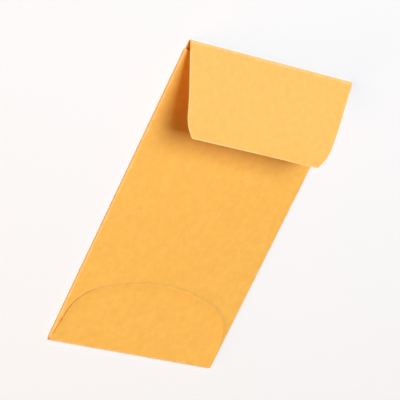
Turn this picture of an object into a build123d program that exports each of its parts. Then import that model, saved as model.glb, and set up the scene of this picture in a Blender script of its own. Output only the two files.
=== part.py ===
from build123d import *
import math
import os

# Coin envelope: one die-cut sheet of kraft paper, folded and glued into a flat pocket.
# It lies on its front panel, with the closing flap half open above the back panel.
# The origin is under the middle of the front panel, +Y runs to the flap's fold and +Z is up.
# Lengths are in millimetres and angles in degrees.

# Sheet
paper = 0.15

# Folded envelope, edge to edge
width = 63.5
length = 107.95
pocket_gap = 0.3

# Back panel, folded over from the left edge
throat_drop = 3.2
back_foot_setback = 0.9
seam_setback = 1.6

# Seam tab, folded in from the right edge and glued under the back panel
seam_tab_width = 12.7
seam_tab_end_angle = 30
seam_tab_corner = 2.0

# Bottom flap, folded up and glued over the back panel
bottom_flap_depth = 26.2
bottom_flap_shoulder = 0.4
bottom_flap_side_angle = 7
bottom_flap_corner = 13.5
bottom_flap_bow_radius = 55.0

# Closing flap, hinged on its fold at the top of the front panel; its free edge cuts its round corners short
flap_depth = 29.0
flap_shoulder = 0.4
flap_side_angle = 9.4
flap_corner = 12.5
flap_corner_overrun = 3.4
flap_fold_radius = 0.35
flap_opening = 29
flap_flat_run = 11.5
flap_curl_radius = 93.0

# Overrun of a flap past the shape that trims it
trim_overrun = 4.0

# Undersides of the layers that lie over the front panel
tab_level = paper + pocket_gap
back_level = tab_level + paper
bottom_flap_level = back_level + paper

# Outer radius of each fold, from the layers that it joins
left_fold = (back_level + paper) / 2
right_fold = (tab_level + paper) / 2
bottom_fold = (bottom_flap_level + paper) / 2
flap_fold = flap_fold_radius + paper

# Edges of the folded envelope and ends of the back panel
left_edge = -width / 2
right_edge = width / 2
bottom_edge = -length / 2
top_edge = length / 2
throat = top_edge - throat_drop
back_foot = bottom_edge + back_foot_setback
back_run = throat - back_foot

# Planes of the sheet's sections: across the width, seen towards -Y, and along the length, seen towards +X
across = Plane(origin=(0, throat, 0), x_dir=(1, 0, 0), z_dir=(0, -1, 0))
along = Plane(origin=(0, 0, 0), x_dir=(0, 1, 0), z_dir=(1, 0, 0))


def panel(left, right, bottom, top, level):
    """A flat rectangle of the sheet, with its underside at the given level."""
    place = Location((left, bottom, level))
    return place * Box(right - left, top - bottom, paper, align=(Align.MIN, Align.MIN, Align.MIN))


def fold_line(start, heading, outer_radius, turn):
    """The middle of the sheet round a fold that leaves the front panel, in a section's plane."""
    return JernArc((start, paper / 2), (heading, 0), outer_radius - paper / 2, turn)


def tapered_flap(half_base, depth, side_angle):
    """A flap with sharp corners, with its base on the X axis and its free edge at +Y."""
    half_tip = half_base - depth * math.tan(math.radians(side_angle))
    sides = Polyline((-half_base, 0), (-half_tip, depth), (half_tip, depth), (half_base, 0), close=True)
    return make_face(sides)


def straight_flap(half_base, depth, side_angle, corner):
    """A flap with a straight free edge and round corners."""
    outline = tapered_flap(half_base, depth, side_angle)
    return fillet(outline.vertices().group_by(Axis.Y)[-1], corner)


def bowed_flap(half_base, depth, side_angle, corner, bow_radius):
    """A flap with a free edge that bows out, furthest in the middle, and round corners."""
    bow = Location((0, depth - bow_radius)) * Circle(bow_radius)
    outline = tapered_flap(half_base, depth + trim_overrun, side_angle) & bow
    return fillet(outline.vertices().group_by(Axis.Y)[-1], corner)


def front_panel():
    """The panel that the envelope lies on, between its four folds."""
    left = left_edge + left_fold
    right = right_edge - right_fold
    return panel(left, right, bottom_edge + bottom_fold, top_edge - flap_fold, 0)


def back_panel():
    """The panel over the pocket, with the fold that joins it to the front panel's left side."""
    arc = fold_line(left_edge + left_fold, -1, left_fold, -180)
    turned = extrude(across * trace(arc, paper), back_run)
    leaf = panel(left_edge + left_fold, right_edge - seam_setback, back_foot, throat, back_level)
    return turned + leaf


def seam_tab():
    """The glued tab inside the right edge, cut back at both ends, with its fold."""
    arc = fold_line(right_edge - right_fold, 1, right_fold, 180)
    turned = extrude(across * trace(arc, paper), back_run)
    outline = straight_flap(back_run / 2, seam_tab_width - right_fold, seam_tab_end_angle, seam_tab_corner)
    root = (right_edge - right_fold, (throat + back_foot) / 2, tab_level)
    leaf = extrude(Plane(origin=root, x_dir=(0, 1, 0), z_dir=(0, 0, 1)) * outline, paper)
    return turned + leaf


def bottom_flap():
    """The flap that shuts the pocket's foot, glued over the back panel, with its fold."""
    half_base = width / 2 - bottom_flap_shoulder
    arc = fold_line(bottom_edge + bottom_fold, -1, bottom_fold, -180)
    turned = extrude(along * trace(arc, paper), half_base, both=True)
    leaf_depth = bottom_flap_depth - bottom_fold
    outline = bowed_flap(
        half_base, leaf_depth, bottom_flap_side_angle, bottom_flap_corner, bottom_flap_bow_radius
    )
    root = Location((0, bottom_edge + bottom_fold, bottom_flap_level))
    return turned + extrude(root * outline, paper)


def closing_flap():
    """The half-open flap: its fold, a flat run and a free end that curls back towards the pocket."""
    half_base = width / 2 - flap_shoulder
    leaf_depth = flap_depth - flap_fold
    arc = fold_line(top_edge - flap_fold, 1, flap_fold, 180 - flap_opening)
    flat = Line(arc @ 1, arc @ 1 + flap_flat_run * (arc % 1))
    curl_run = leaf_depth - flap_flat_run
    curl = JernArc(flat @ 1, flat % 1, flap_curl_radius, math.degrees(curl_run / flap_curl_radius))
    strip = extrude(along * trace([flat, curl], paper), half_base, both=True)
    root = along.from_local_coords(arc @ 1)
    rise = along.from_local_coords(flat @ 1) - root
    leaf_plane = Plane(origin=root, x_dir=(1, 0, 0), z_dir=Vector(1, 0, 0).cross(rise))
    outline = straight_flap(half_base, leaf_depth + flap_corner_overrun, flap_side_angle, flap_corner)
    leaf = strip & extrude(leaf_plane * outline, trim_overrun, both=True)
    return extrude(along * trace(arc, paper), half_base, both=True) + leaf


envelope = front_panel() + back_panel() + seam_tab() + bottom_flap() + closing_flap()

os.makedirs("parts", exist_ok=True)
export_step(envelope, "parts/envelope.step")
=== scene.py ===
import math

import bmesh
import bpy
from mathutils import Matrix, Vector


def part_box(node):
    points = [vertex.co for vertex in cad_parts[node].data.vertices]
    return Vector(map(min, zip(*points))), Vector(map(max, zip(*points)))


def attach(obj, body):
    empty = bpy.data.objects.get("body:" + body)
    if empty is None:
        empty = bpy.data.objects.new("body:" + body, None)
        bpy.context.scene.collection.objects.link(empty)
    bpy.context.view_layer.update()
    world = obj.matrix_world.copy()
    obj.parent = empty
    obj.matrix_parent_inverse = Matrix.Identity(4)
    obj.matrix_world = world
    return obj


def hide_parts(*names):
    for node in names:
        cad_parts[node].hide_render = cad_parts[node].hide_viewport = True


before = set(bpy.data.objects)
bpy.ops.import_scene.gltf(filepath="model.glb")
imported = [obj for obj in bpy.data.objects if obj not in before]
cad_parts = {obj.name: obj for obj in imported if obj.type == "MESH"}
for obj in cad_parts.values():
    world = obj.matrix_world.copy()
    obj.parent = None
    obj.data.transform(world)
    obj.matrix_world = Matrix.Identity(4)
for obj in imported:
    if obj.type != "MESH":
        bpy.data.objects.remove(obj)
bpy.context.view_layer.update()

# Coin envelope: one sheet of golden kraft paper, folded and glued, lying on its front panel.
# The frame gives the folded size; the sheet's own sizes follow here, in metres.
mm = 0.001
envelope_low, envelope_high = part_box("envelope")
left_edge, bottom_edge = envelope_low.x, envelope_low.y
right_edge, top_edge = envelope_high.x, envelope_high.y

# Sheet; the glue line keeps glued layers a hair apart
paper = 0.15 * mm
glue_line = 0.01 * mm
pocket_gap = 0.3 * mm

# Back panel, folded over from the left edge
throat_drop = 3.2 * mm
back_foot_setback = 0.9 * mm
seam_setback = 1.6 * mm

# Seam tab, folded in from the right edge and glued under the back panel
seam_tab_width = 12.7 * mm
seam_tab_end_angle = math.radians(30)

# Bottom flap, folded up and glued over the back panel
bottom_flap_depth = 26.2 * mm
bottom_flap_shoulder = 0.4 * mm
bottom_flap_side_angle = math.radians(7)
bottom_flap_corner = 13.5 * mm
bottom_flap_bow_radius = 55.0 * mm

# Closing flap, half open: it leaves its fold flat, then curls, and its free edge cuts its round corners short
flap_depth = 29.0 * mm
flap_shoulder = 0.4 * mm
flap_side_angle = math.radians(9.4)
flap_corner = 12.5 * mm
flap_corner_overrun = 3.4 * mm
flap_fold_inside = 0.35 * mm
flap_opening = math.radians(29)
flap_flat_run = 11.5 * mm
flap_curl_radius = 93.0 * mm

# How the paper springs: the back panel bows up off the pocket, over a share of its length, the bottom flap's
# rim lifts where there is no glue, and no panel is quite flat
back_bow = 0.5 * mm
bow_rise_share = 0.6
rim_lift = 0.35 * mm
rim_width = 4.0 * mm
panel_waviness = 0.16 * mm
flap_waviness = 0.5 * mm
wave_size = 24.0 * mm

# Undersides of the layers over the front panel, and the folds' radii at the middle of the sheet
tab_level = paper + pocket_gap
back_level = tab_level + paper
bottom_flap_level = back_level + paper
left_fold = back_level / 2
right_fold = tab_level / 2
bottom_fold = bottom_flap_level / 2
flap_fold = flap_fold_inside + paper / 2
sheet_middle = paper / 2

# Edges of the front panel's flat part, and ends of the back panel
front_left = left_edge + left_fold + sheet_middle
front_right = right_edge - right_fold - sheet_middle
front_bottom = bottom_edge + bottom_fold + sheet_middle
front_top = top_edge - flap_fold - sheet_middle
throat = top_edge - throat_drop
back_foot = bottom_edge + back_foot_setback

# Bottom flap past its fold: its run along the sheet, half its base, the ways up and off its side, and the
# middle of its free edge's bow
bottom_leaf = bottom_flap_depth - bottom_fold - sheet_middle
bottom_half_base = right_edge - bottom_flap_shoulder
up_bottom_side = Vector((-math.sin(bottom_flap_side_angle), math.cos(bottom_flap_side_angle)))
off_bottom_side = Vector((math.cos(bottom_flap_side_angle), math.sin(bottom_flap_side_angle)))
bow_centre = Vector((0, bottom_leaf - bottom_flap_bow_radius))

# Closing flap past its fold: the way that it runs, the way that its inner side faces, where it starts,
# its run along the sheet and its reach along the way that it starts
flap_turn = math.pi - flap_opening
flap_run = Vector((0, math.cos(flap_turn), math.sin(flap_turn)))
flap_inward = Vector((0, -math.sin(flap_turn), math.cos(flap_turn)))
flap_root = Vector((0, front_top, sheet_middle + flap_fold)) - flap_inward * flap_fold
flap_leaf = flap_depth - flap_fold - sheet_middle
flap_curl = (flap_leaf - flap_flat_run) / flap_curl_radius
flap_reach = flap_flat_run + flap_curl_radius * math.sin(flap_curl)
flap_half_base = right_edge - flap_shoulder

# Fineness of the mesh: a panel's cell, the strips or cuts that a fold, the curl or an arc is made in, and the
# sharpest turn that is shaded smooth
cell = 1.3 * mm
fold_strips = 8
curl_strips = 12
corner_cuts = 20
bow_cuts = 16
smooth_turn = math.radians(40)

# Lengths that count as none, when an edge or a face is picked by its place and when a cut meets a point
near = 0.02 * mm
same_point = near / 100

across = Vector((1, 0, 0))
lengthwise = Vector((0, 1, 0))


def deselect_everything():
    for thing in bpy.context.selected_objects:
        thing.select_set(False)
    bpy.context.view_layer.objects.active = None


def steps_over(run):
    """How many cells go into a run."""
    return max(1, round(run / cell))


def pick_free_edges(sheet, wanted):
    """Selects the sheet's free edges whose middle passes the test, and nothing else."""
    bpy.ops.mesh.select_mode(type="EDGE")
    bpy.ops.mesh.select_all(action="DESELECT")
    mesh = bmesh.from_edit_mesh(sheet.data)
    for edge in mesh.edges:
        middle = (edge.verts[0].co + edge.verts[1].co) / 2
        edge.select_set(edge.is_boundary and wanted(middle))
    bmesh.update_edit_mesh(sheet.data)


def pick_faces(sheet, wanted):
    """Selects the faces whose middle passes the test, and nothing else."""
    bpy.ops.mesh.select_mode(type="FACE")
    bpy.ops.mesh.select_all(action="DESELECT")
    mesh = bmesh.from_edit_mesh(sheet.data)
    for face in mesh.faces:
        face.select_set(wanted(face.calc_center_median()))
    bmesh.update_edit_mesh(sheet.data)


def score_line(point, normal):
    """Scores a line across the whole sheet."""
    bpy.ops.mesh.select_all(action="SELECT")
    bpy.ops.mesh.bisect(plane_co=point, plane_no=normal, threshold=same_point)


def draw_out(run):
    """Lengthens the sheet from the selected edges, a cell at a time."""
    count = steps_over(run.length)
    for _ in range(count):
        bpy.ops.mesh.extrude_region_move(TRANSFORM_OT_translate={"value": run / count})


def turn_over(centre, axis, angle, strips):
    """Turns the sheet round a fold from the selected edges, right-handed about the axis, which spin isn't."""
    bpy.ops.mesh.spin(steps=strips, angle=-angle, center=centre, axis=axis)


def turn_of(arm):
    """A direction's turn in a flap's own plane, from across the flap towards its free edge."""
    return math.atan2(arm.y, arm.x)


def arc_cuts(centre, radius, first, last, count):
    """Straight cuts that touch an arc: each one's turn, from the side to the free edge, and its reach."""
    turns = [first + (last - first) * step / count for step in range(count + 1)]
    return [(turn, radius + centre.x * math.cos(turn) + centre.y * math.sin(turn)) for turn in turns]


def cut_flap(sheet, on_flap, root, run, cuts):
    """Trims a flap to the cuts of its outline, the same on both sides of its middle."""
    for side in (across, -across):
        for turn, reach in cuts:
            outward = side * math.cos(turn) + run * math.sin(turn)
            pick_faces(sheet, on_flap)
            bpy.ops.mesh.bisect(
                plane_co=root + outward * reach, plane_no=outward, clear_outer=True, threshold=same_point
            )


def bottom_corner_centre():
    """The middle of the bottom flap's round corner, which touches the side and, from within, the bow."""
    start = Vector((bottom_half_base, 0)) - off_bottom_side * bottom_flap_corner - bow_centre
    # It runs up beside the side until the corner touches the bow
    reach = bottom_flap_bow_radius - bottom_flap_corner
    along = start.dot(up_bottom_side)
    climb = math.sqrt(along ** 2 - start.length_squared + reach ** 2) - along
    return bow_centre + start + up_bottom_side * climb


def flap_corner_centre():
    """The middle of the closing flap's round corner, whose arc its free edge cuts short."""
    rise = flap_leaf + flap_corner_overrun - flap_corner
    inset = (flap_corner + rise * math.sin(flap_side_angle)) / math.cos(flap_side_angle)
    return Vector((flap_half_base - inset, rise))


def is_closing_flap(at):
    """True on the closing flap and its fold, told by their height and by being past the throat."""
    return at.z > bottom_flap_level + paper or (at.y > throat + near and at.z > sheet_middle + near)


def is_bottom_flap(at):
    """True on the bottom flap, the other layer over the back panel."""
    return not is_closing_flap(at) and at.z > back_level + paper


def front_panel():
    """The plain panel that the envelope lies on, scored where the other panels leave it."""
    deselect_everything()
    panel_width, panel_length = front_right - front_left, front_top - front_bottom
    bpy.ops.mesh.primitive_grid_add(
        x_subdivisions=steps_over(panel_width), y_subdivisions=steps_over(panel_length), size=1
    )
    sheet = bpy.context.object
    sheet.name = sheet.data.name = "envelope_sheet"
    bpy.ops.object.mode_set(mode="EDIT")
    bpy.ops.mesh.select_all(action="SELECT")
    bpy.ops.transform.resize(value=(panel_width, panel_length, 1))
    middle = ((front_left + front_right) / 2, (front_bottom + front_top) / 2, sheet_middle)
    bpy.ops.transform.translate(value=middle)
    for line in (back_foot, throat):
        score_line((0, line, 0), lengthwise)
    for shoulder in (bottom_flap_shoulder, flap_shoulder):
        score_line((left_edge + shoulder, 0, 0), across)
        score_line((right_edge - shoulder, 0, 0), across)
    return sheet


def add_back_panel(sheet):
    """Folds the back panel over from the left edge."""
    pick_free_edges(sheet, lambda at: at.x < front_left + near and back_foot < at.y < throat)
    turn_over((front_left, 0, sheet_middle + left_fold), lengthwise, math.pi, fold_strips)
    draw_out(across * (right_edge - seam_setback - front_left))


def add_seam_tab(sheet):
    """Folds the seam tab in from the right edge, cut back at both ends."""
    pick_free_edges(sheet, lambda at: at.x > front_right - near and back_foot < at.y < throat)
    turn_over((front_right, 0, sheet_middle + right_fold), lengthwise, -math.pi, fold_strips)
    run = seam_tab_width - right_fold - sheet_middle
    half_end = (throat - back_foot) / 2
    middle = (0, (throat + back_foot) / 2, 0)
    count = steps_over(run)
    for _ in range(count):
        bpy.ops.mesh.extrude_region_move(TRANSFORM_OT_translate={"value": -across * run / count})
        shorter = half_end - run / count * math.tan(seam_tab_end_angle)
        bpy.ops.transform.resize(value=(1, shorter / half_end, 1), center_override=middle)
        half_end = shorter


def add_bottom_flap(sheet):
    """Folds the bottom flap up over the back panel and cuts its outline."""
    pick_free_edges(sheet, lambda at: at.y < front_bottom + near and abs(at.x) < bottom_half_base)
    turn_over((0, front_bottom, sheet_middle + bottom_fold), across, -math.pi, fold_strips)
    draw_out(lengthwise * bottom_leaf)
    corner = bottom_corner_centre()
    join = turn_of(corner - bow_centre)
    cuts = arc_cuts(corner, bottom_flap_corner, bottom_flap_side_angle, join, corner_cuts)
    cuts += arc_cuts(bow_centre, bottom_flap_bow_radius, join, math.pi / 2, bow_cuts)
    level = bottom_flap_level + sheet_middle
    cut_flap(
        sheet, lambda at: at.z > level - near and at.y > front_bottom,
        Vector((0, front_bottom, level)), lengthwise, cuts,
    )


def add_closing_flap(sheet):
    """Turns the closing flap half way over its fold, curls its free end and cuts its outline."""
    pick_free_edges(sheet, lambda at: at.y > front_top - near and abs(at.x) < flap_half_base)
    turn_over((0, front_top, sheet_middle + flap_fold), across, flap_turn, fold_strips)
    draw_out(flap_run * flap_flat_run)
    curl_centre = flap_root + flap_run * flap_flat_run + flap_inward * flap_curl_radius
    turn_over(curl_centre, across, flap_curl, curl_strips)
    cuts = arc_cuts(flap_corner_centre(), flap_corner, flap_side_angle, math.pi / 2, corner_cuts)
    cut_flap(sheet, lambda at: is_closing_flap(at) and at.z > flap_root.z, flap_root, flap_run, cuts)


def apply_modifier(piece, kind, **settings):
    """Adds a modifier with its settings to a piece, and applies it."""
    modifier = piece.modifiers.new(kind.lower(), kind)
    for name, value in settings.items():
        setattr(modifier, name, value)
    bpy.context.view_layer.objects.active = piece
    bpy.ops.object.modifier_apply(modifier=modifier.name)


def weigh(piece, name, weight):
    """A vertex group whose weights come from each point's place."""
    group = piece.vertex_groups.new(name=name)
    for vertex in piece.data.vertices:
        group.add([vertex.index], weight(vertex.co), "REPLACE")
    return group.name


def within_one(share):
    """The share, held between 0 and 1."""
    return min(max(share, 0), 1)


def ease(share):
    """Goes smoothly from 0 to 1 as the share does."""
    share = within_one(share)
    return share * share * (3 - 2 * share)


def bow_over_pocket(at):
    """How far up the back panel's bow a point is: nothing at the folds, most at the mouth's middle."""
    if is_closing_flap(at) or at.z < sheet_middle + near:
        return 0
    crosswise = math.sin(math.pi * within_one((at.x - left_edge) / (right_edge - left_edge)))
    return crosswise * ease((at.y - front_bottom) / (bow_rise_share * (throat - front_bottom)))


def loose_rim(at):
    """How far up the curl of the bottom flap's unglued rim a point is: most at its cut edge."""
    if not is_bottom_flap(at):
        return 0
    place = Vector((abs(at.x), at.y - front_bottom))
    corner = bottom_corner_centre()
    off_corner = place - corner
    if turn_of(off_corner) > turn_of(corner - bow_centre):
        gap = bottom_flap_bow_radius - (place - bow_centre).length
    elif turn_of(off_corner) > bottom_flap_side_angle:
        gap = bottom_flap_corner - off_corner.length
    else:
        gap = bottom_flap_corner - off_corner.dot(off_bottom_side)
    return (1 - within_one(gap / rim_width)) ** 2 * ease(place.y / rim_width)


def free_of_folds(at):
    """How far a point of the closing flap is free to wave: not at all at its fold, most at its free edge."""
    if not is_closing_flap(at):
        return 0
    return ease((front_top - at.y) / flap_depth)


def spring_paper(sheet):
    """Lets the flat-folded sheet spring as pressed paper does."""
    waves = bpy.data.textures.new("paper_waves", "CLOUDS")
    waves.noise_scale = wave_size
    waves.noise_depth = 1
    bow = weigh(sheet, "bow_over_pocket", bow_over_pocket)
    rim = weigh(sheet, "loose_rim", loose_rim)
    flap = weigh(sheet, "free_of_folds", free_of_folds)
    for group, height in ((bow, back_bow), (rim, rim_lift)):
        apply_modifier(sheet, "DISPLACE", direction="Z", mid_level=0, strength=height, vertex_group=group)
    for group, height in ((bow, panel_waviness), (flap, flap_waviness)):
        apply_modifier(
            sheet, "DISPLACE", direction="Z", mid_level=0.5, strength=height, vertex_group=group,
            texture=waves, texture_coords="LOCAL",
        )
    sheet.vertex_groups.clear()


def folded_sheet(outer_face, inner_face, edge):
    """The whole envelope: the sheet folded, sprung and given the paper's thickness and materials."""
    sheet = front_panel()
    add_back_panel(sheet)
    add_seam_tab(sheet)
    add_bottom_flap(sheet)
    add_closing_flap(sheet)
    bpy.ops.mesh.select_all(action="SELECT")
    bpy.ops.mesh.flip_normals()
    bpy.ops.object.mode_set(mode="OBJECT")
    spring_paper(sheet)
    # The materials go on before the thickness, which hands them out by their order
    for material in (outer_face, inner_face, edge):
        sheet.data.materials.append(material)
    apply_modifier(
        sheet, "SOLIDIFY", thickness=paper - glue_line, offset=0, use_even_offset=True,
        material_offset=1, material_offset_rim=2,
    )
    deselect_everything()
    sheet.select_set(True)
    bpy.context.view_layer.objects.active = sheet
    bpy.ops.object.shade_smooth_by_angle(angle=smooth_turn)
    return sheet


def linear(hex_colour):
    """An sRGB hex colour as the linear values that the shaders take."""
    shares = [int(hex_colour[i:i + 2], 16) / 255 for i in (1, 3, 5)]
    return tuple(c / 12.92 if c <= 0.04045 else ((c + 0.055) / 1.055) ** 2.4 for c in shares) + (1.0,)


def add(tree, kind, values=None, **settings):
    """Adds a node with its settings, and sets or links its inputs, by name or number."""
    node = tree.nodes.new("ShaderNode" + kind)
    for name, value in settings.items():
        setattr(node, name, value)
    for name, value in (values or {}).items():
        if isinstance(value, bpy.types.NodeSocket):
            tree.links.new(value, node.inputs[name])
        else:
            node.inputs[name].default_value = value
    return node


def new_material(name):
    """A new material, its node tree and its one shader."""
    made = bpy.data.materials.new(name)
    made.use_nodes = True
    return made, made.node_tree, made.node_tree.nodes["Principled BSDF"]


# Golden kraft: dyed sulphate pulp, dried on a machine and pressed smooth, so it is matt, faintly cloudy, and
# flecked with short pale and dark fibres and a few specks of bark. Fibres are about 0.03 mm thick and the
# surface's tooth is finer still: both are drawn coarser here, so that they show.
kraft_golden = "#F1BC4F"
kraft_deep = "#EDB448"
kraft_pale_fibre = "#FFD68C"
kraft_dark_fibre = "#CF8322"
kraft_speck = "#8A4A16"
# Pale tint of rubbed folds and cut edges, laid on partly as wear and partly as painted highlight
kraft_wear_and_highlight = "#FFDFA4"
kraft_roughness = 0.62
kraft_roughness_spread = 0.08
kraft_specular = 0.9
formation_size = 2.0 * mm
fibre_spacing = 1.0 * mm
fibre_length = 2.6 * mm
fibre_width_share = 0.035
fibre_stretch = (1, 0.5, 1)
fibre_wander = 0.9
speck_spacing = 5.0 * mm
speck_radius = 0.16 * mm
tooth_size = 0.45 * mm
tooth_height = 0.02 * mm
tooth_strength = 0.6
# Widths of the pale bands at the folds and at the flap's cut edges: rubbed wear and painted highlight both
fold_wear_and_highlight_width = 0.8 * mm
cut_wear_and_highlight_width = 0.5 * mm

# How strongly each mark covers the paper's colour, and how much of the tooth's height a fibre adds
tooth_share = 0.08
pale_fibre_share = 0.18
dark_fibre_share = 0.12
speck_share = 0.45
# The pale bands at the folds and cut edges below are rubbed wear and painted highlight both
fold_wear_and_highlight_share = 0.55
cut_wear_and_highlight_share = 0.6
fibre_height_share = 0.5

# Parts of the patterns' range: where clouds start and end, where fibres break, and cells without a speck
cloud_shares = (0.3, 0.7)
fibre_break_shares = (0.44, 0.56)
bare_cell_share = 0.66

# Places in the endless pattern, in metres, that the two kinds of fibre are taken from
pale_fibre_start = 0.3
dark_fibre_start = 0.7

# Gum on the closing flap's inner side, dried in a band that is a little darker and shinier than the paper
gum_tint = "#DE9632"
gum_share = 0.75
gum_roughness = 0.22
gum_inset = 2.6 * mm
gum_width = 14.0 * mm
gum_half_length = 24.0 * mm
gum_fade = 0.5 * mm
gum_wander = 1.0 * mm

# Heights over which a mark that only the closing flap has comes in, clear of the layers below
flap_marks_from = 3 * back_level
flap_marks_full = 4 * back_level

# Cut edge: torn fibre ends, paler and drier than the pressed faces
cut_edge_deep = "#F4CB88"
cut_edge_pale = "#FFEBC4"
cut_edge_roughness = 0.85


def fibres(tree, place, start):
    """Thin broken lines at random, stretched along the sheet's length, as fibres lie in it."""
    moved = add(tree, "Mapping", {
        "Vector": place, "Location": (start, start, start), "Scale": fibre_stretch,
    }).outputs[0]
    strands = add(tree, "TexNoise", {
        "Vector": moved, "Scale": 1 / fibre_spacing, "Detail": 1, "Distortion": fibre_wander,
    }).outputs["Fac"]
    # A strand runs where the noise passes through its middle value
    off_strand = add(tree, "Math", {0: strands, 1: 0.5}, operation="SUBTRACT").outputs[0]
    distance = add(tree, "Math", {0: off_strand}, operation="ABSOLUTE").outputs[0]
    line = add(tree, "MapRange", {0: distance, 1: 0, 2: fibre_width_share, 3: 1, 4: 0}).outputs[0]
    breaks = add(tree, "TexNoise", {"Vector": moved, "Scale": 1 / fibre_length, "Detail": 2}).outputs["Fac"]
    gone, whole = fibre_break_shares
    shown = add(tree, "MapRange", {0: breaks, 1: gone, 2: whole}).outputs[0]
    return add(tree, "Math", {0: line, 1: shown}, operation="MULTIPLY").outputs[0]


def specks(tree, place):
    """A few dots, in one cell of the pattern out of three."""
    cells = add(tree, "TexVoronoi", {"Vector": place, "Scale": 1 / speck_spacing}).outputs
    chance = add(tree, "SeparateColor", {"Color": cells["Color"]}).outputs[0]
    kept = add(tree, "Math", {0: chance, 1: bare_cell_share}, operation="GREATER_THAN").outputs[0]
    reach = speck_radius / speck_spacing
    dot = add(tree, "MapRange", {0: cells["Distance"], 1: reach / 2, 2: reach, 3: 1, 4: 0}).outputs[0]
    return add(tree, "Math", {0: dot, 1: kept}, operation="MULTIPLY").outputs[0]


def fold_wear_and_highlight(tree, place):
    """Where the folds round the envelope are rubbed pale and carry a painted highlight: unevenly, a short way
    in from its outermost edges.
    """
    at = add(tree, "SeparateXYZ", {"Vector": place}).outputs
    gaps = []
    for axis, edge in (("X", right_edge), ("Y", top_edge)):
        off_middle = add(tree, "Math", {0: at[axis]}, operation="ABSOLUTE").outputs[0]
        gaps.append(add(tree, "Math", {0: edge, 1: off_middle}, operation="SUBTRACT").outputs[0])
    gap = add(tree, "Math", {0: gaps[0], 1: gaps[1]}, operation="MINIMUM").outputs[0]
    # The patches are a half on average, so they take twice the width
    patches = add(tree, "TexNoise", {"Vector": place, "Scale": 1 / formation_size}).outputs["Fac"]
    width = add(tree, "Math", {0: patches, 1: 2 * fold_wear_and_highlight_width}, operation="MULTIPLY").outputs[0]
    return add(tree, "MapRange", {0: gap, 1: 0, 2: width, 3: 1, 4: 0}).outputs[0]


def places_on_flap(tree, place):
    """How far a point is off the envelope's middle and along the closing flap, and if it is on the flap."""
    at = add(tree, "SeparateXYZ", {"Vector": place}).outputs
    off_middle = add(tree, "Math", {0: at["X"]}, operation="ABSOLUTE").outputs[0]
    from_root = add(tree, "VectorMath", {0: place, 1: flap_root}, operation="SUBTRACT").outputs[0]
    along = add(tree, "VectorMath", {0: from_root, 1: flap_run}, operation="DOT_PRODUCT").outputs["Value"]
    on_flap = add(tree, "MapRange", {0: at["Z"], 1: flap_marks_from, 2: flap_marks_full}).outputs[0]
    return off_middle, along, on_flap


def cut_wear_and_highlight(tree, place):
    """Where the closing flap's faces are worn pale and carry a painted highlight, close to its cut sides,
    corners and free edge.
    """
    off_middle, along, on_flap = places_on_flap(tree, place)
    flat = add(tree, "CombineXYZ", {"X": off_middle, "Y": along}).outputs[0]
    corner = flap_corner_centre().to_3d()
    from_corner = add(tree, "VectorMath", {0: flat, 1: corner}, operation="SUBTRACT").outputs[0]
    # Turned so that X leads out through the side, and cut off at the corner's middle both ways
    turned = add(tree, "VectorRotate", {
        "Vector": from_corner, "Angle": -flap_side_angle,
    }, rotation_type="Z_AXIS").outputs[0]
    outward = add(tree, "VectorMath", {0: turned, 1: (0, 0, 0)}, operation="MAXIMUM").outputs[0]
    reach = add(tree, "VectorMath", {0: outward}, operation="LENGTH").outputs["Value"]
    side_gap = add(tree, "Math", {0: flap_corner, 1: reach}, operation="SUBTRACT").outputs[0]
    end_gap = add(tree, "Math", {0: flap_reach, 1: along}, operation="SUBTRACT").outputs[0]
    gap = add(tree, "Math", {0: side_gap, 1: end_gap}, operation="MINIMUM").outputs[0]
    worn = add(tree, "MapRange", {0: gap, 1: 0, 2: cut_wear_and_highlight_width, 3: 1, 4: 0}).outputs[0]
    return add(tree, "Math", {0: worn, 1: on_flap}, operation="MULTIPLY").outputs[0]


def gum_band(tree, place):
    """The gummed strip, set in from the closing flap's free edge and sides, with a wandering edge."""
    off_middle, along, band = places_on_flap(tree, place)
    wander = add(tree, "TexNoise", {"Vector": place, "Scale": 1 / formation_size, "Detail": 1}).outputs["Fac"]
    along = add(tree, "Math", {0: wander, 1: gum_wander, 2: along}, operation="MULTIPLY_ADD").outputs[0]
    outer, inner = flap_reach - gum_inset, flap_reach - gum_inset - gum_width
    for value, start, end in (
        (along, outer, outer - gum_fade),
        (along, inner, inner + gum_fade),
        (off_middle, gum_half_length, gum_half_length - gum_fade),
    ):
        within = add(tree, "MapRange", {0: value, 1: start, 2: end}).outputs[0]
        band = add(tree, "Math", {0: band, 1: within}, operation="MULTIPLY").outputs[0]
    return band


def tinted(tree, under, mask, strength, colour):
    """Lays a colour over another where the mask says, as strongly as given."""
    share = add(tree, "Math", {0: mask, 1: strength}, operation="MULTIPLY").outputs[0]
    return add(tree, "Mix", {0: share, 6: under, 7: linear(colour)}, data_type="RGBA").outputs[2]


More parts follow.
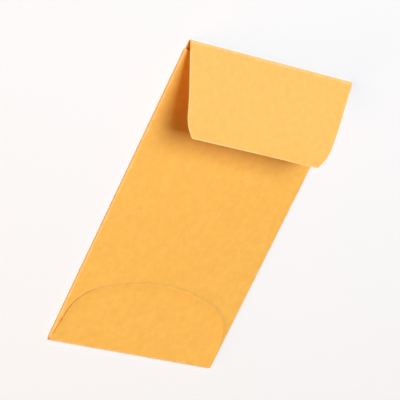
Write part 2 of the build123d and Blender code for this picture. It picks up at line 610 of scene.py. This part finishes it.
def golden_kraft(name, gummed=False):
    """Pressed kraft paper, with or without the gum."""
    made, tree, shader = new_material(name)
    place = add(tree, "TexCoord").outputs["Object"]
    clouds = add(tree, "TexNoise", {"Vector": place, "Scale": 1 / formation_size, "Detail": 2}).outputs["Fac"]
    tooth = add(tree, "TexNoise", {"Vector": place, "Scale": 1 / tooth_size, "Detail": 2}).outputs["Fac"]
    pale, dark = fibres(tree, place, pale_fibre_start), fibres(tree, place, dark_fibre_start)
    thin, thick = cloud_shares
    settled = add(tree, "MapRange", {0: clouds, 1: thin, 2: thick}).outputs[0]
    colour = tinted(tree, linear(kraft_deep), settled, 1, kraft_golden)
    for mask, share, tint in (
        (tooth, tooth_share, kraft_pale_fibre),
        (pale, pale_fibre_share, kraft_pale_fibre),
        (dark, dark_fibre_share, kraft_dark_fibre),
        (specks(tree, place), speck_share, kraft_speck),
        # Pale bands at the folds and the flap's cut edges: rubbed wear, and painted highlight as well
        (fold_wear_and_highlight(tree, place), fold_wear_and_highlight_share, kraft_wear_and_highlight),
        (cut_wear_and_highlight(tree, place), cut_wear_and_highlight_share, kraft_wear_and_highlight),
    ):
        colour = tinted(tree, colour, mask, share, tint)
    least, most = kraft_roughness - kraft_roughness_spread, kraft_roughness + kraft_roughness_spread
    roughness = add(tree, "MapRange", {0: clouds, 1: 0, 2: 1, 3: least, 4: most}).outputs[0]
    if gummed:
        gum = gum_band(tree, place)
        colour = tinted(tree, colour, gum, gum_share, gum_tint)
        roughness = add(tree, "Mix", {0: gum, 2: roughness, 3: gum_roughness}).outputs[0]
    height = add(tree, "Math", {
        0: pale, 1: fibre_height_share, 2: tooth,
    }, operation="MULTIPLY_ADD").outputs[0]
    bump = add(tree, "Bump", {
        "Height": height, "Strength": tooth_strength, "Distance": tooth_height,
    }).outputs[0]
    tree.links.new(colour, shader.inputs["Base Color"])
    tree.links.new(roughness, shader.inputs["Roughness"])
    tree.links.new(bump, shader.inputs["Normal"])
    shader.inputs["Specular IOR Level"].default_value = kraft_specular
    return made


def cut_edge(name):
    """The sheet's cut edge, uneven in colour where fibre ends stand out of it."""
    made, tree, shader = new_material(name)
    place = add(tree, "TexCoord").outputs["Object"]
    ends = add(tree, "TexNoise", {"Vector": place, "Scale": 1 / tooth_size, "Detail": 3}).outputs["Fac"]
    colour = tinted(tree, linear(cut_edge_deep), ends, 1, cut_edge_pale)
    tree.links.new(colour, shader.inputs["Base Color"])
    shader.inputs["Roughness"].default_value = cut_edge_roughness
    return made


# Camera: above the envelope's flap end and left side, turned about its line of sight as the photograph is
camera_aim = Vector((-1.6 * mm, 3.4 * mm, 0))
camera_distance = 0.817
camera_azimuth = math.radians(-119.87)
camera_elevation = math.radians(49.59)
camera_roll = math.radians(139.53)
camera_lens = 234.9

# The floor looks white, and the light that it throws back on the envelope is warm, as the photograph's
# shadows are
floor_size = 6.0
floor_white = "#EAF4FE"
floor_bounce = "#F4C07A"
floor_roughness = 0.9

# Light: a broad softbox high up beyond the flap's fold, a low warm one that reaches in under the flap, and a
# faint warm light from all round
key_place = Vector((0.1, 1.03, 1.75))
key_size = 1.25
key_power = 46
key_colour = "#FFFFFF"
fill_place = Vector((-0.95, -1.05, 0.35))
fill_size = 1.2
fill_power = 24
fill_colour = "#FFC080"
room_colour = "#FFD9A6"
room_strength = 0.07


def camera():
    """A long lens that looks at the envelope from the photograph's angle."""
    back = Vector((
        math.sin(camera_azimuth) * math.cos(camera_elevation),
        -math.cos(camera_azimuth) * math.cos(camera_elevation),
        math.sin(camera_elevation),
    ))
    eye = bpy.data.objects.new("camera", bpy.data.cameras.new("camera"))
    bpy.context.collection.objects.link(eye)
    eye.data.lens = camera_lens
    eye.matrix_world = (
        Matrix.Translation(camera_aim + back * camera_distance)
        @ back.to_track_quat("Z", "Y").to_matrix().to_4x4()
        @ Matrix.Rotation(camera_roll, 4, "Z")
    )
    bpy.context.scene.camera = eye


def floor():
    """A matt floor, white to the eye and in reflections, and warm to other light."""
    deselect_everything()
    bpy.ops.mesh.primitive_plane_add(size=floor_size)
    ground = bpy.context.object
    ground.name = "floor"
    made, tree, shader = new_material("floor_matt_white")
    path = add(tree, "LightPath").outputs
    seen = path["Is Camera Ray"]
    for kind in ("Is Glossy Ray", "Is Transmission Ray"):
        seen = add(tree, "Math", {0: seen, 1: path[kind]}, operation="MAXIMUM").outputs[0]
    tree.links.new(tinted(tree, linear(floor_bounce), seen, 1, floor_white), shader.inputs["Base Color"])
    shader.inputs["Roughness"].default_value = floor_roughness
    ground.data.materials.append(made)


def soft_lamp(name, place, size, power, colour):
    """A square softbox that faces the envelope."""
    lamp = bpy.data.objects.new(name, bpy.data.lights.new(name, "AREA"))
    bpy.context.collection.objects.link(lamp)
    lamp.data.size = size
    lamp.data.energy = power
    lamp.data.color = linear(colour)[:3]
    lamp.matrix_world = Matrix.Translation(place) @ place.to_track_quat("Z", "Y").to_matrix().to_4x4()


def room_light():
    """The faint light from all round."""
    world = bpy.data.worlds.new("studio")
    bpy.context.scene.world = world
    world.use_nodes = True
    background = world.node_tree.nodes["Background"].inputs
    background["Color"].default_value = linear(room_colour)
    background["Strength"].default_value = room_strength


sheet = folded_sheet(
    golden_kraft("golden_kraft_outer_face"),
    golden_kraft("golden_kraft_inner_face_gummed", gummed=True),
    cut_edge("golden_kraft_cut_edge"),
)
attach(sheet, "root")
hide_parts("envelope")

camera()
floor()
soft_lamp("key_lamp", key_place, key_size, key_power, key_colour)
soft_lamp("low_fill_lamp", fill_place, fill_size, fill_power, fill_colour)
room_light()
bpy.context.scene.view_settings.view_transform = "Standard"
